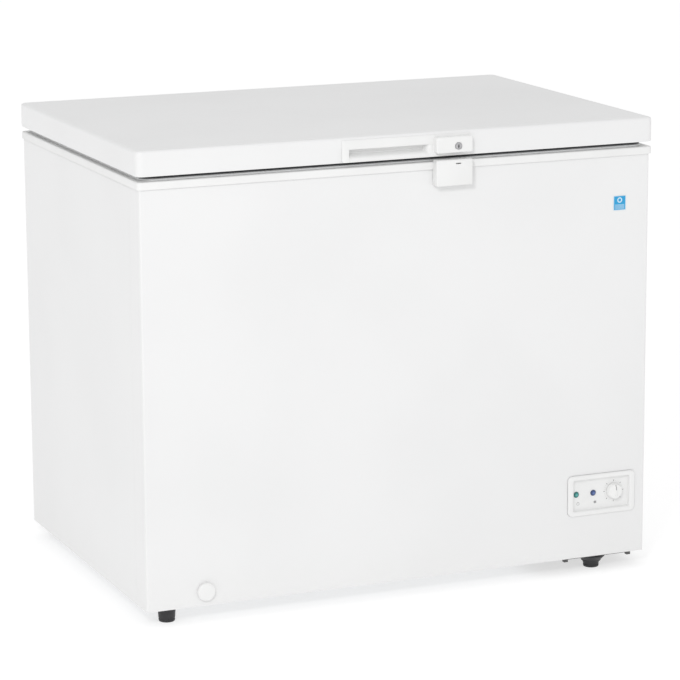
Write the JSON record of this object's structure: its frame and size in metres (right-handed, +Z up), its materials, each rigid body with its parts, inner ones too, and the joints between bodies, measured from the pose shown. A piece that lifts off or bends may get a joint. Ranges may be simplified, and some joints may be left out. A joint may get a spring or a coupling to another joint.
{
  "type": "chest freezer",
  "caption": "White chest freezer with a hinged, lockable top lid, lined tub, hanging basket, front thermostat panel, drain and rear machine compartment.",
  "frame": {"origin": "on the floor, below the middle of the object's bounding box", "axes": "+Z up, +X to the right seen from the front, front towards -Y"},
  "size_m": [0.99, 0.7007, 0.843],
  "materials": {
    "white_steel": "gloss white enamel",
    "white_plastic": "satin moulded",
    "galvanised_steel": "dull zinc",
    "embossed_liner": "stucco embossed",
    "foam": null,
    "gasket_pvc": "matte",
    "black_plastic": "matte",
    "black_rubber": "matte",
    "black_enamel": "satin",
    "copper": null,
    "lock_metal": "polished",
    "zinc_steel": "zinc plated",
    "green_lens": "clear tinted",
    "blue_lens": "clear tinted",
    "label_film": "printed film",
    "coated_wire": "white coated"
  },
  "bodies": {
    "cabinet": {"base_panel": "galvanised_steel", "capillary_tube": "copper", "collar": "white_plastic", "compartment_wall": "galvanised_steel", "compressor": "black_enamel", "compressor_base": "black_enamel", "compressor_tray": "black_enamel", "condenser_coil": "copper", "control_bezel": "white_plastic", "discharge_pipe": "copper", "drain_tube": "white_plastic", "evaporator_coil": "copper", "filter_drier": "copper", "foam_body": "foam", "foot_front_left": "black_plastic", "foot_front_right": "black_plastic", "foot_rear_left": "black_plastic", "foot_rear_right": "black_plastic", "front_panel": "white_steel", "grommet_1": "black_rubber", "grommet_2": "black_rubber", "grommet_3": "black_rubber", "grommet_4": "black_rubber", "hinge_left_cabinet_leaf": "zinc_steel", "hinge_left_pin": "zinc_steel", "hinge_left_spring": "zinc_steel", "hinge_right_cabinet_leaf": "zinc_steel", "hinge_right_pin": "zinc_steel", "hinge_right_spring": "zinc_steel", "inner_liner": "embossed_liner", "lamp_blue": "blue_lens", "lamp_green": "green_lens", "latch_receiver": "white_plastic", "machine_cover": "galvanised_steel", "process_tube": "copper", "rating_label": "label_film", "rear_panel": "galvanised_steel", "side_panel_left": "white_steel", "side_panel_right": "white_steel", "suction_pipe": "copper", "terminal_cover": "black_plastic", "thermostat_body": "zinc_steel"},
    "lid": {"lid_shell": "white_steel", "lid_foam": "foam", "lid_liner": "white_plastic", "lid_gasket": "gasket_pvc", "handle_trim": "white_plastic", "hinge_left_lid_leaf": "zinc_steel", "hinge_right_lid_leaf": "zinc_steel"},
    "lock": {"lock_cylinder": "lock_metal"},
    "bolt": {"lock_bolt": "zinc_steel"},
    "knob": {"thermostat_knob": "white_plastic", "thermostat_shaft": "zinc_steel"},
    "cap": {"drain_cap": "white_plastic"},
    "plug": {"drain_plug": "black_rubber"},
    "basket": {"wire_basket": "coated_wire"}
  },
  "joints": [
    {"name": "lid_hinge", "type": "hinge", "parent": "cabinet", "child": "lid", "pos_m": [0, 0.3425, 0.792], "axis": [-1, 0, 0], "range_deg": [0, 85]},
    {"name": "lock_turn", "type": "hinge", "parent": "lid", "child": "lock", "pos_m": [0.0987, -0.342, 0.8167], "axis": [0, 1, 0], "range_deg": [0, 90]},
    {"name": "bolt_slide", "type": "slide", "parent": "lid", "child": "bolt", "axis": [0, 0, -1], "range_m": [0, 0.017]},
    {"name": "thermostat_turn", "type": "hinge", "parent": "cabinet", "child": "knob", "pos_m": [0.4277, -0.3275, 0.1485], "axis": [0, 1, 0], "range_deg": [-135, 135]},
    {"name": "drain_cap_pull", "type": "slide", "parent": "cabinet", "child": "cap", "axis": [0, -1, 0], "range_m": [0, 0.04]},
    {"name": "drain_plug_lift", "type": "slide", "parent": "cabinet", "child": "plug", "axis": [0, 0, 1], "range_m": [0, 0.04]},
    {"name": "basket_slide", "type": "slide", "parent": "cabinet", "child": "basket", "axis": [1, 0, 0], "range_m": [-0.12, 0.475]}
  ],
  "couplings": [
    {"joint": "bolt_slide", "follows": "lock_turn", "m_per_rad": 0.0108}
  ]
}
